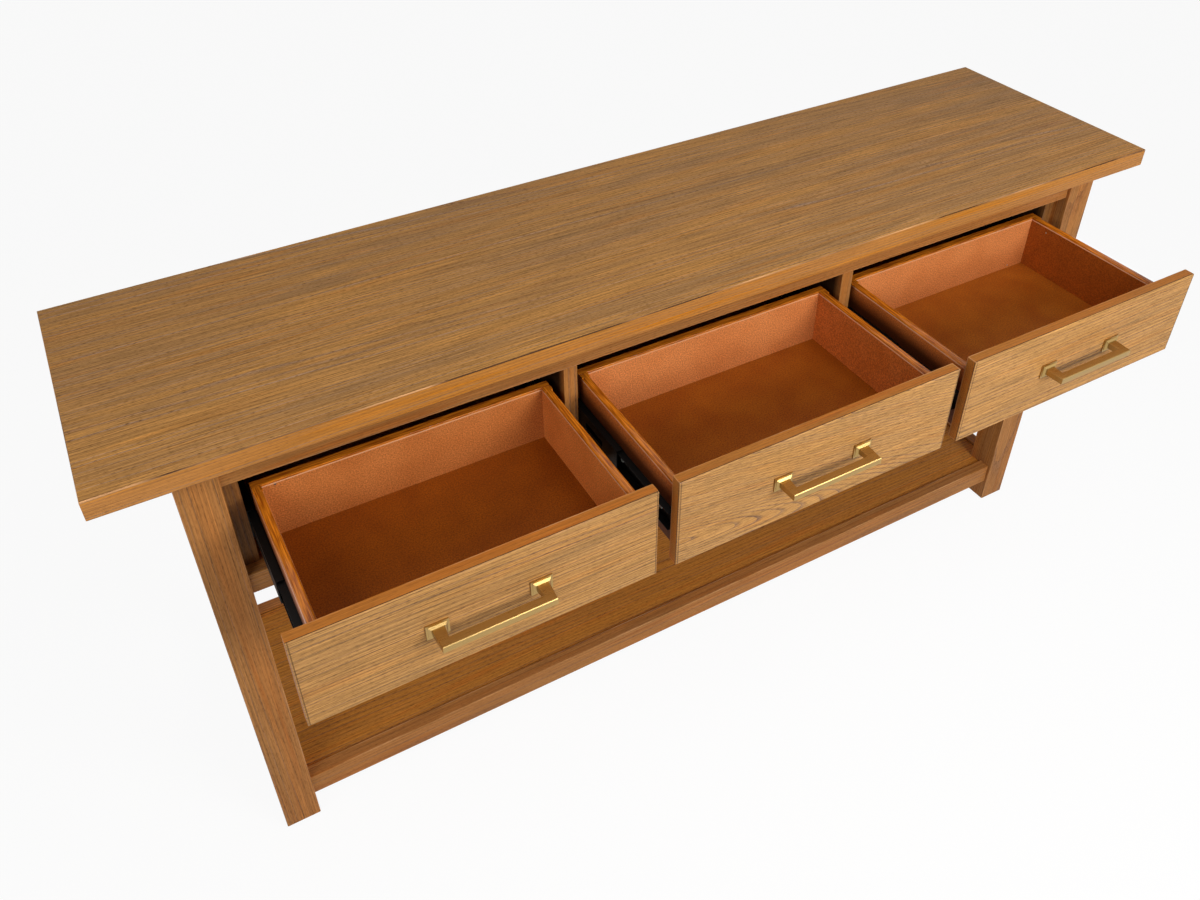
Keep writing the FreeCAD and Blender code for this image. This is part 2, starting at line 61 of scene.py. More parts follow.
# %% Colours and nodes
def linear(hex_code):
    """Linear RGBA of an sRGB colour such as #B08450, by the standard curve."""
    parts = [int(hex_code[i:i + 2], 16) / 255 for i in (1, 3, 5)]
    return [p / 12.92 if p <= 0.04045 else ((p + 0.055) / 1.055) ** 2.4 for p in parts] + [1.0]


def node(tree, kind, inputs=None, **settings):
    """Add one node; inputs maps a socket's name or number to a value or to an output to link."""
    made = tree.nodes.new(kind)
    for name, value in settings.items():
        setattr(made, name, value)
    for key, value in (inputs or {}).items():
        if isinstance(value, bpy.types.NodeSocket):
            tree.links.new(value, made.inputs[key])
        else:
            made.inputs[key].default_value = value
    return made


print("plain oak in linear light:", [round(c, 3) for c in linear("#B98650")[:3]])

# %% [markdown]
# ## Camera
# The photograph looks down on the left front corner from standing height. The camera's place was worked out
# from corners and straight edges of the top, legs and drawer fronts. The centre of view came out above the
# middle of the picture, as in a cropped one, and a lens shift repeats that without turning the camera.

# %% Camera
PICTURE = (1200, 900)
FOCAL_PIXELS = 1056.7
PRINCIPAL_PIXEL = (591.9, 346.2)
SENSOR_MM = 36.0
EYE = Vector((-0.7333, -1.1782, 1.5640))
AIM = Vector((-0.1035, 0.0, 0.5658))
ROLL = math.radians(0.87)

lens = bpy.data.cameras.new("camera")
lens.sensor_width = SENSOR_MM
lens.lens = FOCAL_PIXELS / PICTURE[0] * SENSOR_MM
lens.shift_x = (PICTURE[0] / 2 - PRINCIPAL_PIXEL[0]) / PICTURE[0]
lens.shift_y = (PRINCIPAL_PIXEL[1] - PICTURE[1] / 2) / PICTURE[0]
camera = bpy.data.objects.new("camera", lens)
scene.collection.objects.link(camera)
look = (AIM - EYE).normalized()
right = look.cross(Vector((0, 0, 1))).normalized()
turn = Matrix((right, right.cross(look), -look)).transposed().to_4x4()
camera.matrix_world = Matrix.Translation(EYE) @ turn @ Matrix.Rotation(-ROLL, 4, "Z")
scene.camera = camera
print("lens", round(lens.lens, 2), "mm, shift", round(lens.shift_x, 4), round(lens.shift_y, 4))

# %% [markdown]
# ## Floor and light
# The picture shows the object alone on white, in soft light. Its shading fits a main lamp in front and a
# little to the right, a weaker one at the left and a broad one above, with faint light from all round. Two
# low lamps past the edges of the floor, whose light doesn't reach the top, show the back and the right end in
# other views. A plain white floor under plain light would come out grey, so for rays that the camera sees,
# the floor and the sky are mixed with white. The floor still takes the object's shadow.

# %% Floor and light
FLOOR_SIDE = 24.0
FLOOR_COLOUR = "#F2F1EF"
# Share of white in what the camera sees of the floor; the rest is paint under the lamps
FLOOR_WHITE = 0.93
SKY_LIGHT = 0.12
# Each lamp: place and aim in metres, sides of its panel, power in watts
LAMPS = {
    "front": (Vector((0.48, -1.90, 1.32)), Vector((0.05, -0.40, 0.60)), (1.0, 0.65), 28.0),
    "left": (Vector((-1.50, -0.95, 1.45)), Vector((-0.2, -0.35, 0.62)), (0.8, 0.8), 9.5),
    "above": (Vector((0.20, -1.00, 2.50)), Vector((0.0, -0.30, 0.60)), (1.4, 1.0), 12.5),
    "back": (Vector((0.0, 12.6, 0.40)), Vector((0.0, 0.20, 0.40)), (5.0, 0.6), 950.0),
    "right": (Vector((12.6, 0.60, 0.40)), Vector((0.8, 0.10, 0.40)), (2.5, 0.6), 670.0),
}


def seen_rays(tree):
    """A socket that is 1 for rays that show the background: straight, mirrored or through glass."""
    path = node(tree, "ShaderNodeLightPath")
    either = path.outputs["Is Camera Ray"]
    for name in ("Is Glossy Ray", "Is Transmission Ray"):
        pair = {0: either, 1: path.outputs[name]}
        either = node(tree, "ShaderNodeMath", pair, operation="MAXIMUM").outputs[0]
    return either


sheet = bpy.data.meshes.new("floor")
plane = bmesh.new()
bmesh.ops.create_grid(plane, x_segments=1, y_segments=1, size=FLOOR_SIDE / 2)
plane.to_mesh(sheet)
plane.free()
floor = bpy.data.objects.new("floor", sheet)
scene.collection.objects.link(floor)
# Matt white paint has no gleam, so only the object's soft shadow shows on it
paint = bpy.data.materials.new("white_floor")
paint.use_nodes = True
paint.node_tree.nodes.clear()
tree = paint.node_tree
matt = node(tree, "ShaderNodeBsdfDiffuse", {"Color": linear(FLOOR_COLOUR)})
white = node(tree, "ShaderNodeEmission", {"Color": (1, 1, 1, 1), "Strength": 1.0})
share = node(tree, "ShaderNodeMath", {0: seen_rays(tree), 1: FLOOR_WHITE}, operation="MULTIPLY")
mixed = node(tree, "ShaderNodeMixShader", {0: share.outputs[0], 1: matt.outputs[0], 2: white.outputs[0]})
node(tree, "ShaderNodeOutputMaterial", {"Surface": mixed.outputs[0]})
floor.data.materials.append(paint)

sky = bpy.data.worlds.new("studio")
sky.use_nodes = True
sky.node_tree.nodes.clear()
tree = sky.node_tree
soft = node(tree, "ShaderNodeBackground", {"Color": (1, 1, 1, 1), "Strength": SKY_LIGHT})
plain = node(tree, "ShaderNodeBackground", {"Color": (1, 1, 1, 1), "Strength": 1.0})
mixed = node(tree, "ShaderNodeMixShader", {0: seen_rays(tree), 1: soft.outputs[0], 2: plain.outputs[0]})
node(tree, "ShaderNodeOutputWorld", {"Surface": mixed.outputs[0]})
scene.world = sky

for name, (place, aim, sides, watts) in LAMPS.items():
    lamp = bpy.data.lights.new(name, "AREA")
    lamp.shape = "RECTANGLE"
    lamp.size, lamp.size_y = sides
    lamp.energy = watts
    holder = bpy.data.objects.new(name, lamp)
    aimed = (aim - place).to_track_quat("-Z", "Y").to_matrix().to_4x4()
    holder.matrix_world = Matrix.Translation(place) @ aimed
    scene.collection.objects.link(holder)
scene.view_settings.view_transform = "Standard"
print(len(LAMPS), "lamps:", ", ".join(LAMPS))

# %% [markdown]
# ## The figure of oak
# Oak grows in rings. The early part of each ring is full of pores, which brushing opens and a dark glaze
# fills, so a board shows thin dark lines with short dashes in them, and in some rings a line of pale grey
# filler. Between the lines lie broad bands of gold and grey-tan and a few amber streaks. A photograph of
# wood could be wrapped round the boards, but a solid figure needs no unwrapping and runs true round every
# edge. Here the heart of the tree is the X axis, and the distance from it, bent a little by noise, counts
# the rings. The fine pores and fibres follow the board instead, so that they stay long and thin on a board
# that leans.

# %% Oak figure
RING = 4.2 * MM
SWAY = 14 * MM
WOBBLE = 2.4 * MM
# Where the dark line and the filler fade out, as parts of a ring's width from its start
EARLY_PART = 0.40
FILLER_PART = (0.10, 0.26)
# The faintest ring against the strongest, and the chance values between which filler sets in
FAINTEST_RING = 0.30
FILLER_CHANCE = (0.45, 0.60)
# Strength of the pores between the lines, and the strength of a line from which they are full
PORES_BETWEEN = 0.40
CROWDED_LINE = 0.7
# Noise values between which each pattern sets in
PORE_NOISE = (0.50, 0.66)
STREAK_NOISE = (0.54, 0.74)
BAND_NOISE = (0.36, 0.64)
# Length along the grain, width across it (metres) and detail. Real pores are about 0.3 mm wide and fibres
# much finer, too fine to show here, so they are drawn about 1 mm wide.
PATTERNS = {
    "sway": (0.75, 0.100, 1.0),
    "wobble": (0.11, 0.016, 1.0),
    "bands": (0.45, 0.030, 2.0),
    "streaks": (0.28, 0.009, 1.5),
    "pores": (0.007, 0.0013, 1.5),
    "fibres": (0.080, 0.0009, 2.0),
}
# Patterns that follow the board; the others follow the heart of the tree
FINE = ("pores", "fibres")

figure = bpy.data.node_groups.new("oak_figure", "ShaderNodeTree")
for title in ("Grain", "Board"):
    figure.interface.new_socket(title, in_out="INPUT", socket_type="NodeSocketVector")
for title in ("Rings", "Filler", "Pores", "Fibres", "Bands", "Streaks"):
    figure.interface.new_socket(title, in_out="OUTPUT", socket_type="NodeSocketFloat")
given = node(figure, "NodeGroupInput").outputs
grain = given["Grain"]
noise = {}
for title, (length, width, detail) in PATTERNS.items():
    scale = (1 / length, 1 / width, 1 / width)
    place = given["Board" if title in FINE else "Grain"]
    drawn = node(figure, "ShaderNodeVectorMath", {0: place, 1: scale}, operation="MULTIPLY").outputs[0]
    cloud = node(figure, "ShaderNodeTexNoise", {"Vector": drawn, "Scale": 1.0, "Detail": detail})
    noise[title] = cloud.outputs[0]
across = node(figure, "ShaderNodeVectorMath", {0: grain, 1: (0, 1, 1)}, operation="MULTIPLY")
radius = node(figure, "ShaderNodeVectorMath", {0: across.outputs[0]}, operation="LENGTH").outputs["Value"]
for title, reach in (("sway", SWAY), ("wobble", WOBBLE)):
    bent = node(figure, "ShaderNodeMath", {0: noise[title], 1: reach, 2: radius}, operation="MULTIPLY_ADD")
    radius = bent.outputs[0]
count = node(figure, "ShaderNodeMath", {0: radius, 1: RING}, operation="DIVIDE").outputs[0]
number = node(figure, "ShaderNodeMath", {0: count}, operation="FLOOR").outputs[0]
part = node(figure, "ShaderNodeMath", {0: count}, operation="FRACT").outputs[0]
chance = node(figure, "ShaderNodeTexWhiteNoise", {"W": number}, noise_dimensions="1D").outputs["Value"]
early = node(figure, "ShaderNodeMapRange", {0: part, 1: 0.0, 2: EARLY_PART, 3: 1.0, 4: 0.0}).outputs[0]
weight = node(figure, "ShaderNodeMapRange", {0: chance, 3: FAINTEST_RING, 4: 1.0}).outputs[0]
rings = node(figure, "ShaderNodeMath", {0: early, 1: weight}, operation="MULTIPLY").outputs[0]
start, end = FILLER_PART
narrow = node(figure, "ShaderNodeMapRange", {0: part, 1: start, 2: end, 3: 1.0, 4: 0.0}).outputs[0]
start, end = FILLER_CHANCE
some = node(figure, "ShaderNodeMapRange", {0: chance, 1: start, 2: end}).outputs[0]
filler = node(figure, "ShaderNodeMath", {0: narrow, 1: some}, operation="MULTIPLY").outputs[0]
start, end = PORE_NOISE
dashes = node(figure, "ShaderNodeMapRange", {0: noise["pores"], 1: start, 2: end}).outputs[0]
crowd = {0: rings, 1: 0.0, 2: CROWDED_LINE, 3: PORES_BETWEEN, 4: 1.0}
crowd = node(figure, "ShaderNodeMapRange", crowd).outputs[0]
pores = node(figure, "ShaderNodeMath", {0: dashes, 1: crowd}, operation="MULTIPLY").outputs[0]
start, end = STREAK_NOISE
streaks = node(figure, "ShaderNodeMapRange", {0: noise["streaks"], 1: start, 2: end}).outputs[0]
start, end = BAND_NOISE
bands = node(figure, "ShaderNodeMapRange", {0: noise["bands"], 1: start, 2: end}).outputs[0]
node(figure, "NodeGroupOutput", {"Rings": rings, "Filler": filler, "Pores": pores, "Fibres": noise["fibres"],
                                 "Bands": bands, "Streaks": streaks})
print("oak figure:", len(figure.nodes), "nodes")

# %% [markdown]
# ## Oak boards
# Each board is cut from its own place in the tree, so each gets its own material with the same figure moved
# and turned. `along` is the axis that the grain follows, `heart` is a point on the heart line of the tree,
# and `lean` is how far the board leans on that line, in degrees. A heart close behind a leaning face gives
# arched cathedral figure, and one far to the side gives straight lines.

# %% Oak boards
# Turns that lay each axis along X, the heart line of the figure
GRAIN_TURN = {"X": Euler((0, 0, 0)), "Y": Euler((0, 0, -math.pi / 2)), "Z": Euler((0, math.pi / 2, 0))}
# Painted highlight on the arrises: its reach in from an edge, colour, strength and size of its patches
ARRIS = 1.8 * MM
ARRIS_HIGHLIGHT = "#D09A68"
ARRIS_HIGHLIGHT_STRENGTH = 0.60
ARRIS_HIGHLIGHT_PATCH = 90 * MM
# Noise values between which a patch of painted highlight sets in, and nearness to faces, added up, between
# which an arris does: it is 1 on a face and 2 where two faces meet
ARRIS_HIGHLIGHT_NOISE = (0.40, 0.60)
ARRIS_NEAR = (1.0, 1.6)
# Noise values of the darkest and the palest fibre, and how deep pores and lines lie below the fibres
FIBRE_NOISE = (0.28, 0.72)
PIT_DEPTH = 0.6
# Satin lacquer: roughness on hard wood and in the pores, gloss, and the relief that brushing left
OAK_ROUGHNESS = (0.52, 0.70)
OAK_GLOSS = 0.14
RELIEF_STRENGTH = 0.45
RELIEF_DEPTH = 0.25 * MM
TREE_HEIGHT = 9.0
LUCK_SEED = 4127
luck = random.Random(LUCK_SEED)


def start_material(name):
    """A new empty material, with the socket that gives a point on the object."""
    material = bpy.data.materials.new(name)
    material.use_nodes = True
    material.node_tree.nodes.clear()
    point = node(material.node_tree, "ShaderNodeTexCoord").outputs["Object"]
    return material, material.node_tree, point


def lay_oak(tree, point, heart, along, lean, start, tones):
    """Colour, pores and relief of oak; start is the height in the tree at which the board was cut."""
    straight = GRAIN_TURN[along].to_matrix()
    leaning = Euler((0, math.radians(lean[0]), math.radians(lean[1]))).to_matrix() @ straight
    wood = node(tree, "ShaderNodeGroup", {}, node_tree=figure)
    for title, turned in (("Grain", leaning), ("Board", straight)):
        shift = Vector((start, 0, 0)) - turned @ heart
        cut = {"Vector": point, "Location": shift, "Rotation": turned.to_euler()}
        tree.links.new(node(tree, "ShaderNodeMapping", cut).outputs[0], wood.inputs[title])
    ground = {0: wood.outputs["Bands"], 6: linear(tones["tan"]), 7: linear(tones["gold"])}
    colour = node(tree, "ShaderNodeMix", ground, data_type="RGBA").outputs[2]
    for mask, tone in (("Streaks", "amber"), ("Rings", "line"), ("Filler", "filler"), ("Pores", "pore")):
        tint, strength = tones[tone]
        amount = node(tree, "ShaderNodeMath", {0: wood.outputs[mask], 1: strength}, operation="MULTIPLY")
        over = {0: amount.outputs[0], 6: colour, 7: linear(tint)}
        colour = node(tree, "ShaderNodeMix", over, data_type="RGBA").outputs[2]
    spread = tones["fibre"]
    dark, pale = FIBRE_NOISE
    shade = {0: wood.outputs["Fibres"], 1: dark, 2: pale, 3: 1 - spread, 4: 1 + spread}
    shade = node(tree, "ShaderNodeMapRange", shade).outputs[0]
    colour = node(tree, "ShaderNodeHueSaturation", {"Color": colour, "Value": shade}).outputs[0]
    pits = node(tree, "ShaderNodeMath", {0: wood.outputs["Pores"], 1: wood.outputs["Rings"]}, operation="ADD")
    hollow = {0: pits.outputs[0], 1: -PIT_DEPTH, 2: wood.outputs["Fibres"]}
    relief = node(tree, "ShaderNodeMath", hollow, operation="MULTIPLY_ADD").outputs[0]
    return colour, wood.outputs["Pores"], relief


def face_depths(tree, point, name):
    """Sockets X, Y and Z: how deep the point lies under the nearer face of the solid's box."""
    low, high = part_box(name)
    out = node(tree, "ShaderNodeVectorMath", {0: point, 1: (low + high) / 2}, operation="SUBTRACT").outputs[0]
    out = node(tree, "ShaderNodeVectorMath", {0: out}, operation="ABSOLUTE").outputs[0]
    depth = node(tree, "ShaderNodeVectorMath", {0: (high - low) / 2, 1: out}, operation="SUBTRACT")
    return node(tree, "ShaderNodeSeparateXYZ", {0: depth.outputs[0]}).outputs


def paint_arris_highlight(tree, point, colour, name):
    """Lighten the colour in patches where two faces meet, as a painted highlight along the arris."""
    near = 0.0
    for depth in face_depths(tree, point, name):
        close = node(tree, "ShaderNodeMapRange", {0: depth, 1: 0.0, 2: ARRIS, 3: 1.0, 4: 0.0}).outputs[0]
        near = node(tree, "ShaderNodeMath", {0: close, 1: near}, operation="ADD").outputs[0]
    edge = node(tree, "ShaderNodeMapRange", {0: near, 1: ARRIS_NEAR[0], 2: ARRIS_NEAR[1]}).outputs[0]
    cloud = {"Vector": point, "Scale": 1 / ARRIS_HIGHLIGHT_PATCH, "Detail": 1.0}
    cloud = node(tree, "ShaderNodeTexNoise", cloud).outputs[0]
    patch = {0: cloud, 1: ARRIS_HIGHLIGHT_NOISE[0], 2: ARRIS_HIGHLIGHT_NOISE[1], 3: 0.0, 4: ARRIS_HIGHLIGHT_STRENGTH}
    patch = node(tree, "ShaderNodeMapRange", patch).outputs[0]
    highlit = node(tree, "ShaderNodeMath", {0: edge, 1: patch}, operation="MULTIPLY").outputs[0]
    pale = {0: highlit, 6: colour, 7: linear(ARRIS_HIGHLIGHT)}
    return node(tree, "ShaderNodeMix", pale, data_type="RGBA").outputs[2]


def close_oak(material, colour, pores, relief):
    """Satin lacquer over brushed oak: smooth on the hard wood, duller down in the pores."""
    tree = material.node_tree
    rough = node(tree, "ShaderNodeMapRange", {0: pores, 3: OAK_ROUGHNESS[0], 4: OAK_ROUGHNESS[1]}).outputs[0]
    bump = {"Strength": RELIEF_STRENGTH, "Distance": RELIEF_DEPTH, "Height": relief}
    bump = node(tree, "ShaderNodeBump", bump).outputs[0]
    inputs = {"Base Color": colour, "Roughness": rough, "Normal": bump, "Specular IOR Level": OAK_GLOSS}
    shader = node(tree, "ShaderNodeBsdfPrincipled", inputs)
    node(tree, "ShaderNodeOutputMaterial", {"Surface": shader.outputs[0]})


def dress(name, material):
    """Give a solid its material."""
    slots = solids[name].data.materials
    slots.clear()
    slots.append(material)


def middle_of(name):
    """The middle of a solid's box."""
    low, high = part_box(name)
    return (low + high) / 2


# The two tones of the bands, the spread of the fibres' tone, and each pattern's tint with its strength
FRAME_TONES = {
    "tan": "#A5713C", "gold": "#AE7035", "fibre": 0.30,
    "amber": ("#A56024", 0.70), "line": ("#774A2B", 0.85),
    "filler": ("#A08468", 0.25), "pore": ("#5B3519", 0.60),
}
# How far from a board's middle the heart may lie on each axis, and how far the board may lean, in degrees
HEART_REACH = 120 * MM
FRAME_LEAN = 1.2
# Painted shade inside the case: colour, start and full depth behind the front face, and how far it covers the
# oak
PAINTED_CASE_SHADE = "#1A0F08"
INNER_SHADE_START = 1 * MM
INNER_SHADE_DEPTH = 16 * MM
DARKEST = 0.94
# How dark the painted shade is on the front face of each inner upright
INNER_SHADE = {"left_filler": 0.45, "right_filler": 0.45, "left_divider": 0.0, "right_divider": 0.0}
FRAME_GRAIN = {
    "X": ["front_top_rail", "front_bottom_rail", "shelf_front_rail", "shelf_back_rail", "back_panel"],
    "Y": ["left_side_panel", "right_side_panel", "shelf_left_rail", "shelf_right_rail"],
    "Z": ["front_left_leg", "front_right_leg", "back_left_leg", "back_right_leg", *INNER_SHADE],
}


def paint_inner_shade(tree, point, colour, name):
    """Paint shade over the colour, darker with the distance behind the front face."""
    depth = node(tree, "ShaderNodeSeparateXYZ", {0: point}).outputs["Y"]
    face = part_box(name)[0].y
    reach = {0: depth, 1: face + INNER_SHADE_START, 2: face + INNER_SHADE_DEPTH, 3: INNER_SHADE[name], 4: DARKEST}
    reach = node(tree, "ShaderNodeMapRange", reach)
    dark = {0: reach.outputs[0], 6: colour, 7: linear(PAINTED_CASE_SHADE)}
    return node(tree, "ShaderNodeMix", dark, data_type="RGBA").outputs[2]


for along, names in FRAME_GRAIN.items():
    for name in names:
        material, tree, point = start_material("brushed_oak_" + name)
        away = Vector((luck.uniform(-1, 1), luck.uniform(-1, 1), luck.uniform(-1, 1))) * HEART_REACH
        lean = (luck.uniform(-FRAME_LEAN, FRAME_LEAN), luck.uniform(-FRAME_LEAN, FRAME_LEAN))
        start = luck.uniform(0, TREE_HEIGHT)
        colour, pores, relief = lay_oak(tree, point, middle_of(name) + away, along, lean, start, FRAME_TONES)
        # Inner uprights get painted shade behind their front face, the other boards a painted highlight on
        # their arrises
        painted_light = paint_inner_shade if name in INNER_SHADE else paint_arris_highlight
        colour = painted_light(tree, point, colour, name)
        close_oak(material, colour, pores, relief)
        dress(name, material)
print(sum(len(names) for names in FRAME_GRAIN.values()), "frame boards of oak")

# %% [markdown]
# ## Top and shelf
# The top and the shelf panel are veneered boards. Veneer comes in leaves, laid side by side, so each leaf
# shows another cut of the tree. Each leaf could be a mesh of its own; a count of leaves across the board,
# which moves the figure by a chance amount for each, leaves the solid as it is. A thin dark line is painted
# round the shelf panel, where it meets its rails: a glue line, and painted shade where the rails stand
# higher.

# %% Top and shelf
TOP_TONES = {
    "tan": "#AD7F4C", "gold": "#C68D49", "fibre": 0.48,
    "amber": ("#C58035", 0.55), "line": ("#83593B", 0.75),
    "filler": ("#BFA086", 0.50), "pore": ("#5E3C1E", 0.80),
}
SHELF_TONES = {
    "tan": "#B57732", "gold": "#BF7D2E", "fibre": 0.32,
    "amber": ("#C07024", 0.70), "line": ("#7A4820", 0.90),
    "filler": ("#B08E69", 0.25), "pore": ("#5A3214", 0.75),
}
LEAF = 137 * MM
# How far a leaf's figure may be moved along the tree, across it and into it, in metres
LEAF_SHIFT = (4.0, 0.04, 0.05)
VENEER_HEART = Vector((0, 110 * MM, -75 * MM))
VENEER_LEAN = (0.8, 0.2)
VENEER_START = 2.4
# A glue line is far finer than 1 mm, so it is drawn coarser to show; round the shelf it is also painted shade
GLUE_AND_SHADE_WIDTH = 1.2 * MM
GLUE_AND_SHADE_COLOUR = "#4A2F1B"


def leaf_point(tree, point):
    """The point as seen from the middle of its leaf, moved by another chance amount for each leaf."""
    y = node(tree, "ShaderNodeSeparateXYZ", {0: point}).outputs["Y"]
    leaf = node(tree, "ShaderNodeMath", {0: y, 1: LEAF}, operation="DIVIDE").outputs[0]
    leaf = node(tree, "ShaderNodeMath", {0: leaf}, operation="ROUND").outputs[0]
    chance = node(tree, "ShaderNodeTexWhiteNoise", {"W": leaf}, noise_dimensions="1D").outputs["Color"]
    middle = node(tree, "ShaderNodeMath", {0: leaf, 1: LEAF}, operation="MULTIPLY").outputs[0]
    middle = node(tree, "ShaderNodeCombineXYZ", {"Y": middle}).outputs[0]
    inside = node(tree, "ShaderNodeVectorMath", {0: point, 1: middle}, operation="SUBTRACT").outputs[0]
    reach = {0: chance, 1: LEAF_SHIFT, 2: inside}
    return node(tree, "ShaderNodeVectorMath", reach, operation="MULTIPLY_ADD").outputs[0]


def lay_veneer(tree, point, name, tones):
    """Colour, pores and relief of the leaves of veneer on a board."""
    heart = middle_of(name) + VENEER_HEART
    return lay_oak(tree, leaf_point(tree, point), heart, "X", VENEER_LEAN, VENEER_START, tones)


def glue_and_shade_line(tree, point, colour, name):
    """Darken a thin line along the edges of a board, where it meets its frame: a glue line, and painted
    shade.
    """
    depths = face_depths(tree, point, name)
    nearer = node(tree, "ShaderNodeMath", {0: depths["X"], 1: depths["Y"]}, operation="MINIMUM").outputs[0]
    edge = node(tree, "ShaderNodeMath", {0: nearer, 1: GLUE_AND_SHADE_WIDTH}, operation="LESS_THAN").outputs[0]
    line = {0: edge, 6: colour, 7: linear(GLUE_AND_SHADE_COLOUR)}
    return node(tree, "ShaderNodeMix", line, data_type="RGBA").outputs[2]


# Veneer has the boards' satin, with a figure that changes from leaf to leaf
for name, tones in (("top_panel", TOP_TONES), ("shelf_panel", SHELF_TONES)):
    material, tree, point = start_material("oak_veneer_" + name)
    colour, pores, relief = lay_veneer(tree, point, name, tones)
    # The shelf panel gets a dark line that is both glue and painted shade of the rails' step
    if name == "shelf_panel":
        colour = glue_and_shade_line(tree, point, colour, name)
    close_oak(material, colour, pores, relief)
    dress(name, material)
print("top and shelf in leaves of", round(LEAF / MM), "mm")

# %% [markdown]
# ## Edge strips of the top
# The slab's edges are faced with strips of oak, more orange than the top, with long straight lines along
# each strip. The top's veneer runs over them to the edge. There its cut shows as a thin dark line, which in
# patches gives way to a pale painted highlight. The veneer could be a thin sheet on the strips; here the
# height on the strip decides which of the three shows.

# %% Edge strips of the top
STRIP_TONES = {
    "tan": "#B67C3F", "gold": "#C37F2C", "fibre": 0.24,
    "amber": ("#CA7C16", 0.80), "line": ("#785540", 0.95),
    "filler": ("#B49A7B", 0.30), "pore": ("#674227", 0.50),
}
# Depths under the top: the veneer's face, and its cut, which is drawn thicker than real veneer to show
VENEER_FACE = 0.15 * MM
VENEER_CUT = 1.8 * MM
# Size of the patches where a painted highlight takes the place of the dark cut
CUT_HIGHLIGHT_PATCH = 160 * MM
# Noise values between which a patch of painted highlight sets in
CUT_HIGHLIGHT_NOISE = (0.42, 0.58)
STRIP_HEART = Vector((40 * MM, 40 * MM, -90 * MM))
STRIP_LEAN = (0.3, 0.3)
# Stained oak is deeper in colour than the veneer, and its lines run straight
for name, along in (("top_front_lipping", "X"), ("top_back_lipping", "X"),
                    ("top_left_lipping", "Y"), ("top_right_lipping", "Y")):
    material, tree, point = start_material("stained_oak_" + name)
    heart = middle_of(name) + STRIP_HEART
    start = luck.uniform(0, TREE_HEIGHT)
    colour, pores, relief = lay_oak(tree, point, heart, along, STRIP_LEAN, start, STRIP_TONES)
    # The cut is a dark seam, and in patches a painted highlight along the arris
    cloud = {"Vector": point, "Scale": 1 / CUT_HIGHLIGHT_PATCH, "Detail": 2.0}
    cloud = node(tree, "ShaderNodeTexNoise", cloud).outputs[0]
    cut_highlight = node(tree, "ShaderNodeMapRange", {0: cloud, 1: CUT_HIGHLIGHT_NOISE[0], 2: CUT_HIGHLIGHT_NOISE[1]}).outputs[0]
    cut = {0: cut_highlight, 6: linear(GLUE_AND_SHADE_COLOUR), 7: linear(ARRIS_HIGHLIGHT)}
    cut = node(tree, "ShaderNodeMix", cut, data_type="RGBA").outputs[2]
    veneer = lay_veneer(tree, point, "top_panel", TOP_TONES)[0]
    height = node(tree, "ShaderNodeSeparateXYZ", {0: point}).outputs["Z"]
    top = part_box(name)[1].z
    for depth, laid in ((VENEER_CUT, cut), (VENEER_FACE, veneer)):
        past = node(tree, "ShaderNodeMath", {0: height, 1: top - depth}, operation="GREATER_THAN").outputs[0]
        colour = node(tree, "ShaderNodeMix", {0: past, 6: colour, 7: laid}, data_type="RGBA").outputs[2]
    close_oak(material, colour, pores, relief)
    dress(name, material)
print("4 edge strips")

# %% [markdown]
# ## Drawer fronts
# A front is a board with a face of veneer, its grain across, and edge bands stained brown-orange. The band
# shows as a stripe along the top of each front, with a fine dark line where it meets the face. A softer
# dark line runs just inside each end of the face. The three faces are cut from different places: the middle
# one has an arched figure at its left end.

# %% Drawer fronts
FRONT_TONES = {
    "tan": "#AF824B", "gold": "#B7864A", "fibre": 0.42,
    "amber": ("#B67A39", 0.50), "line": ("#66422F", 0.92),
    "filler": ("#B29C86", 0.15), "pore": ("#5A3C2C", 0.75),
}
BAND_TONES = {
    "tan": "#AE6F2F", "gold": "#B86D28", "fibre": 0.24,
    "amber": ("#BA6421", 0.70), "line": ("#8A5123", 0.80),
    "filler": ("#B08051", 0.20), "pore": ("#724118", 0.50),
}
BAND_LEAN = (0.4, 0.2)
# Behind the face: where the band starts, and the dark line before it. Then the line inside each end: how far
# from the end it lies, half its width, and its strength. Both lines are drawn coarser than real ones to show.
BAND_START = 2.6 * MM
BAND_LINE = 1.0 * MM
END_LINE = 2.3 * MM
END_LINE_HALF = 0.7 * MM
END_LINE_STRENGTH = 0.65
# From each board's middle to the heart of its tree, and how far it leans on the heart line, in degrees
FRONT_HEARTS = {
    "left": (Vector((0, 130 * MM, 150 * MM)), (-0.8, 0.5)),
    "middle": (Vector((0, 21 * MM, -67 * MM)), (-9.5, -6.8)),
    "right": (Vector((0, 120 * MM, -120 * MM)), (0.9, -0.8)),
}


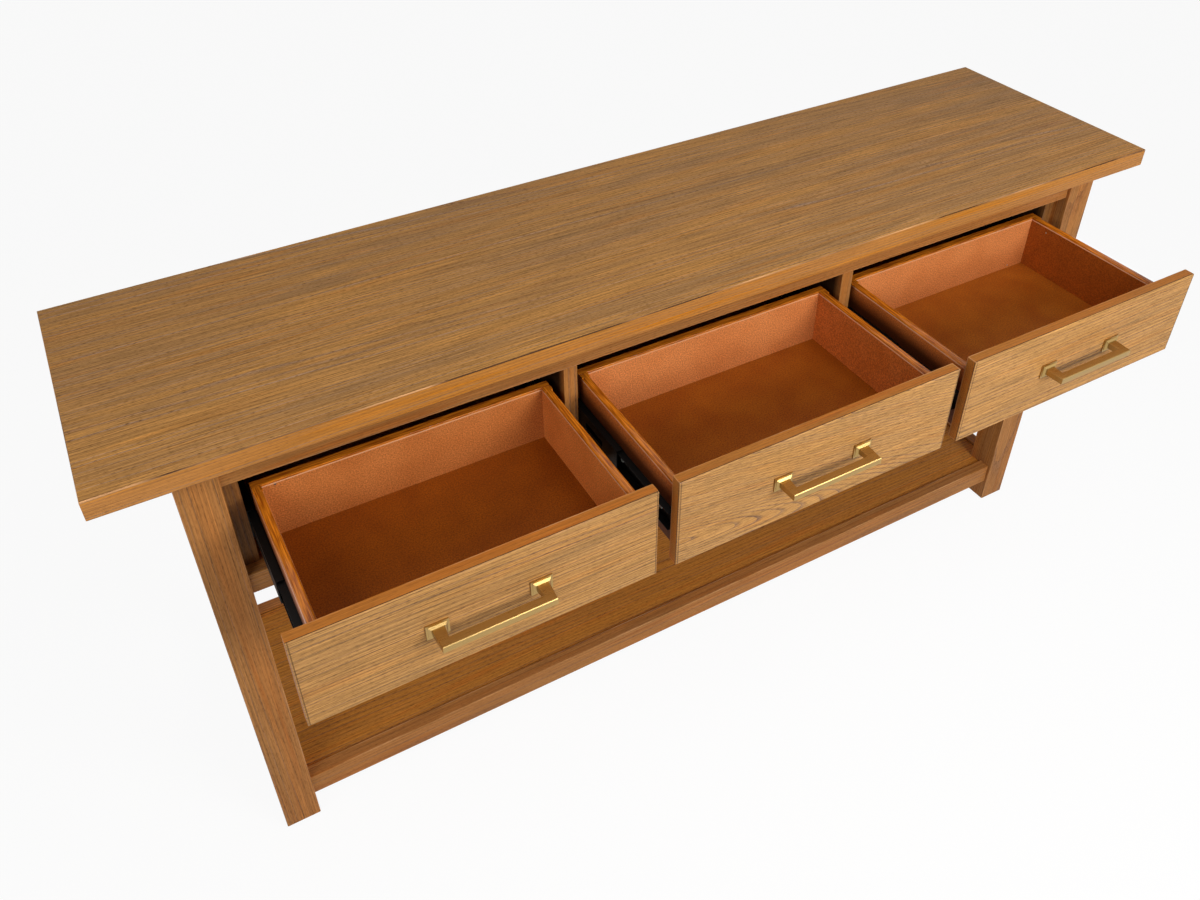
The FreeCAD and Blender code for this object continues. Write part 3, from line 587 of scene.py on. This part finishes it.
def front_material(name):
    """A drawer front's name and its material: satin veneer, with a warmer band round its edges."""
    board = name + "_drawer_front"
    material, tree, point = start_material("oak_veneer_" + board)
    offset, lean = FRONT_HEARTS[name]
    start = luck.uniform(0, TREE_HEIGHT)
    face, pores, relief = lay_oak(tree, point, middle_of(board) + offset, "X", lean, start, FRONT_TONES)
    band = lay_oak(tree, point, middle_of(board) - offset, "X", BAND_LEAN, start, BAND_TONES)[0]
    depth = node(tree, "ShaderNodeSeparateXYZ", {0: point}).outputs["Y"]
    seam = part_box(board)[0].y + BAND_START
    ends = {0: face_depths(tree, point, board)["X"], 1: END_LINE, 2: END_LINE_HALF}
    ends = node(tree, "ShaderNodeMath", ends, operation="COMPARE").outputs[0]
    ends = node(tree, "ShaderNodeMath", {0: ends, 1: END_LINE_STRENGTH}, operation="MULTIPLY").outputs[0]
    colour = {0: ends, 6: face, 7: linear(GLUE_AND_SHADE_COLOUR)}
    colour = node(tree, "ShaderNodeMix", colour, data_type="RGBA").outputs[2]
    for place, laid in ((seam - BAND_LINE, linear(GLUE_AND_SHADE_COLOUR)), (seam, band)):
        past = node(tree, "ShaderNodeMath", {0: depth, 1: place}, operation="GREATER_THAN").outputs[0]
        colour = node(tree, "ShaderNodeMix", {0: past, 6: colour, 7: laid}, data_type="RGBA").outputs[2]
    # The front's arrises get a pale painted highlight in patches
    close_oak(material, paint_arris_highlight(tree, point, colour, board), pores, relief)
    return board, material


for name in DRAWERS:
    dress(*front_material(name))
print("3 veneered drawer fronts")

# %% [markdown]
# ## Drawer boxes
# The boxes are of fibreboard with a terracotta stain: a fine speckle of fibres under a thin lacquer. The
# rounded tops of the walls look sanded and lacquered again: they are glossier and more orange, with a pale
# highlight painted just above where that finish ends. The height on the wall decides which finish shows, so
# the wall stays one solid. Below its top, the outer face of a side is painted dark as shade, down to the
# slide.

# %% Drawer boxes
BACK_TONES = ("#D18248", "#C6763E")
SIDE_TONES = ("#C66E31", "#B96326")
# Boards painted darker or paler than the others, standing in for the light and shade that falls on them
LIGHT_AND_SHADE_TONES = {
    "left_drawer_back": ("#BF7339", "#B46830"),
    "left_drawer_right_side": ("#D47E3C", "#C87232"),
    "right_drawer_right_side": ("#A35215", "#984B11"),
    "left_drawer_bottom": ("#8C4608", "#803D06"),
    "right_drawer_bottom": ("#A85E18", "#9A5012"),
}
BOTTOM_TONES = ("#9A5210", "#8D460C")
CASE_TONES = ("#A5683A", "#8E5328")
LACQUER_TONES = ("#DA7E1C", "#93470D")
# Real fibres are well under 1 mm, too fine to show, so the speckle is drawn at 2 mm
MDF_SPECK = 2.0 * MM
MDF_CLOUD = 45 * MM
SPECK_SPREAD = 0.38
# Noise values between which clouds and speckle run from one tone to the other
MDF_NOISE = (0.30, 0.70)
# The lacquered top: how far down it comes, how softly it ends, and a pale painted highlight just above its
# edge
TOP_FINISH = 5.0 * MM
FINISH_FADE = 1.5 * MM
TOP_HIGHLIGHT_COLOUR = "#E6B48C"
TOP_HIGHLIGHT = 0.80
TOP_HIGHLIGHT_LINE = 1.2 * MM
TOP_HIGHLIGHT_HALF = 0.9 * MM
# Streaks in the lacquer: length and width, and the noise values between which they set in
STREAK = (30 * MM, 1.6 * MM)
LACQUER_NOISE = (0.35, 0.65)
# The painted shade: how thin a skin of the side it takes, and where it starts and is full, under the side's
# top
OUTER_SHADE_COLOUR = "#2A1008"
OUTER_DARKEST = 0.80
OUTER_SKIN = 0.3 * MM
OUTER_START = 7 * MM
OUTER_FULL = 30 * MM
# Roughness of a wall's stained part and of its lacquered top, its gloss, and the relief of its fibres
WALL_ROUGHNESS = (0.50, 0.16)
WALL_GLOSS = 0.3
SPECK_STRENGTH = 0.12
SPECK_DEPTH = 0.2 * MM
PANEL_ROUGHNESS = (0.42, 0.58)
PANEL_GLOSS = 0.2


def speckled(tree, point, tones):
    """Fibreboard: two tones in soft clouds under a fine speckle. Gives the colour and the speckle."""
    clouds = {}
    for size in (MDF_CLOUD, MDF_SPECK):
        cloud = node(tree, "ShaderNodeTexNoise", {"Vector": point, "Scale": 1 / size, "Detail": 2.0})
        clouds[size] = cloud.outputs[0]
    start, end = MDF_NOISE
    even = node(tree, "ShaderNodeMapRange", {0: clouds[MDF_CLOUD], 1: start, 2: end}).outputs[0]
    colour = {0: even, 6: linear(tones[0]), 7: linear(tones[1])}
    colour = node(tree, "ShaderNodeMix", colour, data_type="RGBA").outputs[2]
    shade = {0: clouds[MDF_SPECK], 1: start, 2: end, 3: 1 - SPECK_SPREAD, 4: 1 + SPECK_SPREAD}
    shade = node(tree, "ShaderNodeMapRange", shade).outputs[0]
    colour = node(tree, "ShaderNodeHueSaturation", {"Color": colour, "Value": shade}).outputs[0]
    return colour, clouds[MDF_SPECK]


def paint_outer_shade(tree, point, colour, wall):
    """Paint shade on the outer face of a drawer side, from just under its top down to the slide."""
    low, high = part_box(wall)
    face = low.x if wall.endswith("left_side") else high.x
    place = node(tree, "ShaderNodeSeparateXYZ", {0: point}).outputs
    outer = {0: place["X"], 1: face, 2: OUTER_SKIN}
    outer = node(tree, "ShaderNodeMath", outer, operation="COMPARE").outputs[0]
    down = {0: place["Z"], 1: high.z - OUTER_FULL, 2: high.z - OUTER_START, 3: OUTER_DARKEST, 4: 0.0}
    down = node(tree, "ShaderNodeMapRange", down).outputs[0]
    reach = node(tree, "ShaderNodeMath", {0: outer, 1: down}, operation="MULTIPLY").outputs[0]
    outer_shade = {0: reach, 6: colour, 7: linear(OUTER_SHADE_COLOUR)}
    return node(tree, "ShaderNodeMix", outer_shade, data_type="RGBA").outputs[2]


def wall_material(wall, tones, along):
    """A drawer wall of fibreboard: dull speckle, a streaked glossy top with a painted highlight, and painted
    shade outside a side.
    """
    material, tree, point = start_material("stained_fibreboard_" + wall)
    colour, speck = speckled(tree, point, tones)
    # Painted shade on a side's outer face, below its top
    if along == "Y":
        colour = paint_outer_shade(tree, point, colour, wall)
    scale = [1 / STREAK[0] if axis == along else 1 / STREAK[1] for axis in "XYZ"]
    drawn = node(tree, "ShaderNodeVectorMath", {0: point, 1: scale}, operation="MULTIPLY").outputs[0]
    streak = node(tree, "ShaderNodeTexNoise", {"Vector": drawn, "Scale": 1.0, "Detail": 1.5}).outputs[0]
    streak = {0: streak, 1: LACQUER_NOISE[0], 2: LACQUER_NOISE[1]}
    streak = node(tree, "ShaderNodeMapRange", streak).outputs[0]
    lacquer = {0: streak, 6: linear(LACQUER_TONES[0]), 7: linear(LACQUER_TONES[1])}
    lacquer = node(tree, "ShaderNodeMix", lacquer, data_type="RGBA").outputs[2]
    height = node(tree, "ShaderNodeSeparateXYZ", {0: point}).outputs["Z"]
    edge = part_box(wall)[1].z - TOP_FINISH
    top = node(tree, "ShaderNodeMapRange", {0: height, 1: edge, 2: edge + FINISH_FADE}).outputs[0]
    colour = node(tree, "ShaderNodeMix", {0: top, 6: colour, 7: lacquer}, data_type="RGBA").outputs[2]
    # A pale painted highlight just above the lower edge of the lacquered top
    highlight_band = {0: height, 1: edge + TOP_HIGHLIGHT_LINE, 2: TOP_HIGHLIGHT_HALF}
    highlight_band = node(tree, "ShaderNodeMath", highlight_band, operation="COMPARE").outputs[0]
    highlight_band = node(tree, "ShaderNodeMath", {0: highlight_band, 1: TOP_HIGHLIGHT}, operation="MULTIPLY").outputs[0]
    highlighted = {0: highlight_band, 6: colour, 7: linear(TOP_HIGHLIGHT_COLOUR)}
    colour = node(tree, "ShaderNodeMix", highlighted, data_type="RGBA").outputs[2]
    rough = node(tree, "ShaderNodeMapRange", {0: top, 3: WALL_ROUGHNESS[0], 4: WALL_ROUGHNESS[1]}).outputs[0]
    bump = {"Strength": SPECK_STRENGTH, "Distance": SPECK_DEPTH, "Height": speck}
    bump = node(tree, "ShaderNodeBump", bump).outputs[0]
    inputs = {"Base Color": colour, "Roughness": rough, "Normal": bump, "Specular IOR Level": WALL_GLOSS}
    shader = node(tree, "ShaderNodeBsdfPrincipled", inputs)
    node(tree, "ShaderNodeOutputMaterial", {"Surface": shader.outputs[0]})
    return material


def panel_material(name, tones):
    """Stained hardboard for the bottoms: soft brown clouds under an uneven half gloss."""
    material, tree, point = start_material("stained_hardboard_" + name)
    colour, speck = speckled(tree, point, tones)
    rough = {0: speck, 1: MDF_NOISE[0], 2: MDF_NOISE[1], 3: PANEL_ROUGHNESS[0], 4: PANEL_ROUGHNESS[1]}
    rough = node(tree, "ShaderNodeMapRange", rough).outputs[0]
    inputs = {"Base Color": colour, "Roughness": rough, "Specular IOR Level": PANEL_GLOSS}
    shader = node(tree, "ShaderNodeBsdfPrincipled", inputs)
    node(tree, "ShaderNodeOutputMaterial", {"Surface": shader.outputs[0]})
    return material


WALLS = (("left_side", SIDE_TONES, "Y"), ("right_side", SIDE_TONES, "Y"), ("back", BACK_TONES, "X"))
for name in DRAWERS:
    for wall, tones, along in WALLS:
        board = "%s_drawer_%s" % (name, wall)
        dress(board, wall_material(board, LIGHT_AND_SHADE_TONES.get(board, tones), along))
    board = name + "_drawer_bottom"
    dress(board, panel_material(board, LIGHT_AND_SHADE_TONES.get(board, BOTTOM_TONES)))
dress("case_bottom", panel_material("case_bottom", CASE_TONES))
print("3 drawer boxes of stained fibreboard")

# %% [markdown]
# ## Metal, plastic and plain wood
# The pulls are satin brass, drawn and brushed along their length, so their gloss is broken by fine lines.
# The slides are steel with a black coat, the screws are zinc plated, and the glides are nylon. The blocks
# and cleats inside are sawn softwood with no finish. All of these could be plain colours, but a little
# variation of tone and gloss keeps them from looking like plastic, so one function makes them all.

# %% Metal, plastic and plain wood
BRASS = "#BE9E64"
BRASS_DEEP = "#A68650"
# Real brush marks are under 0.1 mm wide, and the grain of coats and plating is as fine, too fine to show.
# Here the marks are drawn at 0.5 mm, and the flecks of the other finishes at 1 to 2 mm.
BRUSH_LINE = (40 * MM, 0.5 * MM, 0.5 * MM)
SAW_LINE = (90 * MM, 2.2 * MM, 2.2 * MM)
# Noise values of the smoothest and the roughest fleck, and the relief of the flecks
FLECK_NOISE = (0.3, 0.7)
FLECK_STRENGTH = 0.05
FLECK_DEPTH = 0.02 * MM


def flecked(name, size, tones, roughness, constants):
    """A material whose tone and gloss vary with a noise of the given size along X, Y and Z."""
    material, tree, point = start_material(name)
    scale = [1 / side for side in size]
    drawn = node(tree, "ShaderNodeVectorMath", {0: point, 1: scale}, operation="MULTIPLY").outputs[0]
    cloud = node(tree, "ShaderNodeTexNoise", {"Vector": drawn, "Scale": 1.0, "Detail": 2.0}).outputs[0]
    colour = {0: cloud, 6: linear(tones[0]), 7: linear(tones[1])}
    colour = node(tree, "ShaderNodeMix", colour, data_type="RGBA").outputs[2]
    rough = {0: cloud, 1: FLECK_NOISE[0], 2: FLECK_NOISE[1], 3: roughness[0], 4: roughness[1]}
    rough = node(tree, "ShaderNodeMapRange", rough).outputs[0]
    bump = {"Strength": FLECK_STRENGTH, "Distance": FLECK_DEPTH, "Height": cloud}
    bump = node(tree, "ShaderNodeBump", bump).outputs[0]
    inputs = {"Base Color": colour, "Roughness": rough, "Normal": bump}
    shader = node(tree, "ShaderNodeBsdfPrincipled", {**inputs, **constants})
    node(tree, "ShaderNodeOutputMaterial", {"Surface": shader.outputs[0]})
    return material


METAL = {"Metallic": 1.0}
DULL = {"Specular IOR Level": 0.2}
# Satin brass mirrors the lamps as soft bright stripes along the bars
brass = flecked("satin_brass", BRUSH_LINE, (BRASS, BRASS_DEEP), (0.26, 0.36), METAL)
# Black coated steel swallows nearly all light, so the slides show as dark channels
black = flecked("black_coated_steel", [2 * MM] * 3, ("#040404", "#080808"), (0.42, 0.56), DULL)
# Zinc plate is a cool, slightly mottled bright grey
zinc = flecked("zinc_plated_steel", [1.5 * MM] * 3, ("#C6C8C6", "#A9ABA6"), (0.28, 0.42), METAL)
# Moulded nylon is a dull near-black under the legs
nylon = flecked("moulded_nylon", [1.2 * MM] * 3, ("#2C2926", "#221F1D"), (0.45, 0.6), DULL)
# Sawn softwood is pale, dry and lightly lined
softwood = flecked("sawn_softwood", SAW_LINE, ("#C59E69", "#A8804E"), (0.65, 0.8), DULL)
for name in DRAWERS:
    for piece in ("bar", "rosettes"):
        dress("%s_pull_%s" % (name, piece), brass)
    dress(name + "_pull_screws", zinc)
    for stage in ("cabinet", "middle", "drawer"):
        dress("%s_%s_slides" % (name, stage), black)
dress("leg_glides", nylon)
dress("corner_blocks", softwood)
dress("shelf_cleats", softwood)
print("brass, black steel, zinc, nylon and softwood")

# %% [markdown]
# ## Screw and brad heads
# A head could be turned from an outline, with its recess cut out, but that makes many faces for so small a
# piece. Here it is a stack of rings of sixteen points, joined by faces from ring to ring. The outer rings are
# round. In a screw the inner ones follow a cross, and the last lies deeper, which makes the recess for the
# driver. Each ring is a kind, a radius and a height above the surface, in millimetres.

# %% Screw and brad heads
# Half the width of a cross's arm, as a part of its radius
CROSS_WIDTH = 0.28
RING_POINTS = 16
QUARTER = RING_POINTS // 4
HEADS = {
    "pan_head": [("round", 2.0, -1.2), ("round", 2.0, 0.0), ("round", 3.7, 0.0), ("round", 3.7, 0.7),
                 ("round", 3.2, 1.7), ("round", 2.5, 2.1), ("cross", 1.7, 2.1), ("cross", 1.2, 1.2)],
    "flat_head": [("round", 2.2, -1.1), ("round", 2.2, -0.1), ("cross", 1.6, -0.1), ("cross", 1.1, -0.8)],
    "brad": [("round", 1.6, -0.3), ("round", 1.6, 0.10), ("round", 1.0, 0.25)],
}


def ring_points(kind, radius, height):
    """The points of a round or a cross, counted from the X axis."""
    points = []
    for step in range(RING_POINTS):
        quarter, part = divmod(step, QUARTER)
        turn = Matrix.Rotation(quarter * math.pi / 2, 3, "Z")
        if kind == "round":
            flat = Matrix.Rotation(part * math.pi / 2 / QUARTER, 3, "Z") @ Vector((radius, 0, 0))
        else:
            arm = CROSS_WIDTH * radius
            corners = ((radius, 0, 0), (radius, arm, 0), (arm, arm, 0), (arm, radius, 0))
            flat = Vector(corners[part])
        points.append((turn @ flat + Vector((0, 0, height))) * MM)
    return points


def make_head(name):
    """An object, not part of the scene, that holds one head at the origin."""
    work = bmesh.new()
    rings = [[work.verts.new(point) for point in ring_points(*ring)] for ring in HEADS[name]]
    for lower, upper in zip(rings, rings[1:]):
        for i in range(RING_POINTS):
            work.faces.new((lower[i - 1], lower[i], upper[i], upper[i - 1]))
    work.faces.new(rings[0][::-1])
    work.faces.new(rings[-1])
    mesh = bpy.data.meshes.new(name)
    work.to_mesh(mesh)
    work.free()
    return bpy.data.objects.new(name, mesh)


heads = {name: make_head(name) for name in HEADS}
print({name: len(head.data.polygons) for name, head in heads.items()}, "faces")

# %% [markdown]
# ## Setting the fasteners
# Every fastener is the same head at another place. Copies could be set by hand, but Geometry Nodes set them
# all: a point for each place carries the direction that its head faces, and an instance is turned that way
# and then twisted by chance, because no two screws stop at the same angle. The instances are made real and
# given their metal, and the result is kept as a plain mesh for each body that carries them.

# %% Setting the fasteners
setter = bpy.data.node_groups.new("set_fasteners", "GeometryNodeTree")
INPUTS = {"Places": "Geometry", "Head": "Object", "Twist": "Float", "Seed": "Int", "Finish": "Material"}
socket = {}
for title, kind in INPUTS.items():
    made = setter.interface.new_socket(title, in_out="INPUT", socket_type="NodeSocket" + kind)
    socket[title] = made.identifier
setter.interface.new_socket("Fasteners", in_out="OUTPUT", socket_type="NodeSocketGeometry")
given = node(setter, "NodeGroupInput").outputs
head = node(setter, "GeometryNodeObjectInfo", {"Object": given["Head"]}).outputs["Geometry"]
way = node(setter, "GeometryNodeInputNamedAttribute", {"Name": "way"}, data_type="FLOAT_VECTOR").outputs[0]
facing = node(setter, "FunctionNodeAlignRotationToVector", {"Vector": way}, axis="Z").outputs[0]
angle = node(setter, "FunctionNodeRandomValue", {2: 0.0, 3: given["Twist"], "Seed": given["Seed"]}).outputs[1]
twist = node(setter, "FunctionNodeAxisAngleToRotation", {"Axis": (0, 0, 1), "Angle": angle}).outputs[0]
turn = node(setter, "FunctionNodeRotateRotation", {0: facing, 1: twist}, rotation_space="LOCAL").outputs[0]
placed = {"Points": given["Places"], "Instance": head, "Rotation": turn}
placed = node(setter, "GeometryNodeInstanceOnPoints", placed).outputs[0]
real = node(setter, "GeometryNodeRealizeInstances", {0: placed}).outputs[0]
metal = node(setter, "GeometryNodeSetMaterial", {0: real, "Material": given["Finish"]}).outputs[0]
node(setter, "NodeGroupOutput", {"Fasteners": metal})


def fasten(name, head, body, places, seed):
    """Set heads at places, a list of points and the directions they face, and let them ride on a body."""
    mesh = bpy.data.meshes.new(name + "_places")
    mesh.from_pydata([point for point, facing in places], [], [])
    ways = mesh.attributes.new("way", "FLOAT_VECTOR", "POINT")
    for item, (point, facing) in zip(ways.data, places):
        item.vector = facing
    piece = bpy.data.objects.new(name, mesh)
    scene.collection.objects.link(piece)
    nodes = piece.modifiers.new("fasteners", "NODES")
    nodes.node_group = setter
    settings = {"Head": heads[head], "Twist": math.pi / 2, "Seed": seed, "Finish": zinc}
    for title, value in settings.items():
        nodes[socket[title]] = value
    done = piece.evaluated_get(bpy.context.evaluated_depsgraph_get())
    result = bpy.data.meshes.new_from_object(done)
    piece.modifiers.clear()
    piece.data = result
    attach(piece, body)
    print(name, "on", body, "-", len(places), "heads,", len(result.polygons), "faces")


# %% [markdown]
# ## Where the fasteners go
# The slides are fixed through holes in their webs: pan heads inside the drawer members, where there is
# room, and flush heads in the cabinet members, where the middle member passes close by. Pan heads also hold
# the cleats, the corner blocks and the case bottom from below. Three brads of the drawer boxes show in the
# photograph. The screws' places are worked out from the solids' boxes, and the brads' are read off the
# picture.

# %% Where the fasteners go
# Thickness of the slides' steel, and from a slide's end to its first hole
SLIDE_GAUGE = 1.2 * MM
SLIDE_HOLE_END = 28 * MM
# Width of a cleat, and the two equal sides of a corner block
CLEAT = 14 * MM
BLOCK_LEG = 46 * MM
LONG_CLEAT_SCREWS = [-600 * MM, -300 * MM, 0.0, 300 * MM, 600 * MM]
SHORT_CLEAT_SCREWS = [-90 * MM, 90 * MM]
UPRIGHT_SCREWS = [-120 * MM, 0.0, 120 * MM]
# Each brad's place along its board, and its height
LEFT_BACK_BRAD = (-635 * MM, 659 * MM)
RIGHT_BACK_BRAD = (618 * MM, 581.5 * MM)
RIGHT_SIDE_BRAD = (-199 * MM, 652 * MM)
# Seeds of the chance twist; the screws of the three drawers take 0, 1 and 2
SEEDS = {"cabinet": 11, "below": 12, "left_brads": 13, "right_brads": 14}
LEFT = Vector((-1, 0, 0))
RIGHT = Vector((1, 0, 0))
TOWARDS_FRONT = Vector((0, -1, 0))
DOWN = Vector((0, 0, -1))


def web_places(member, length, seats):
    """Three places along each web: seats gives the web's X and the way its heads face."""
    low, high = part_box(member)
    steps = (SLIDE_HOLE_END, length / 2, length - SLIDE_HOLE_END)
    return [(Vector((x, low.y + step, (low.z + high.z) / 2)), way) for x, way in seats for step in steps]


flush = []
for seed, name in enumerate(DRAWERS):
    low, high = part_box(name + "_cabinet_slides")
    seats = ((low.x + SLIDE_GAUGE, RIGHT), (high.x - SLIDE_GAUGE, LEFT))
    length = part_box(name + "_drawer_slides")[1].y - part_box(name + "_drawer_slides")[0].y
    flush += web_places(name + "_cabinet_slides", length, seats)
    seats = ((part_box(name + "_drawer_left_side")[0].x - SLIDE_GAUGE, LEFT),
             (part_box(name + "_drawer_right_side")[1].x + SLIDE_GAUGE, RIGHT))
    places = web_places(name + "_drawer_slides", length, seats)
    fasten(name + "_drawer_slide_screws", "pan_head", name + "_drawer", places, seed)
fasten("cabinet_slide_screws", "flat_head", "carcass", flush, SEEDS["cabinet"])

low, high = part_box("shelf_cleats")
middle = CLEAT / 2
below = [(x, y, low.z) for y in (low.y + middle, high.y - middle) for x in LONG_CLEAT_SCREWS]
below += [(x, y, low.z) for x in (low.x + middle, high.x - middle) for y in SHORT_CLEAT_SCREWS]
low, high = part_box("corner_blocks")
third = BLOCK_LEG / 3
below += [(x, y, low.z) for x in (low.x + third, high.x - third) for y in (low.y + third, high.y - third)]
for upright in ("left_filler", "left_divider", "right_divider", "right_filler"):
    below += [(middle_of(upright).x, y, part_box("case_bottom")[0].z) for y in UPRIGHT_SCREWS]
places = [(Vector(point), DOWN) for point in below]
fasten("screws_from_below", "pan_head", "carcass", places, SEEDS["below"])

back_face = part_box("left_drawer_back")[0].y
side_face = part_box("right_drawer_right_side")[0].x
x, z = LEFT_BACK_BRAD
brads = [(Vector((x, back_face, z)), TOWARDS_FRONT)]
fasten("left_drawer_brads", "brad", "left_drawer", brads, SEEDS["left_brads"])
x, z = RIGHT_BACK_BRAD
y, side_z = RIGHT_SIDE_BRAD
brads = [(Vector((x, back_face, z)), TOWARDS_FRONT), (Vector((side_face, y, side_z)), LEFT)]
fasten("right_drawer_brads", "brad", "right_drawer", brads, SEEDS["right_brads"])
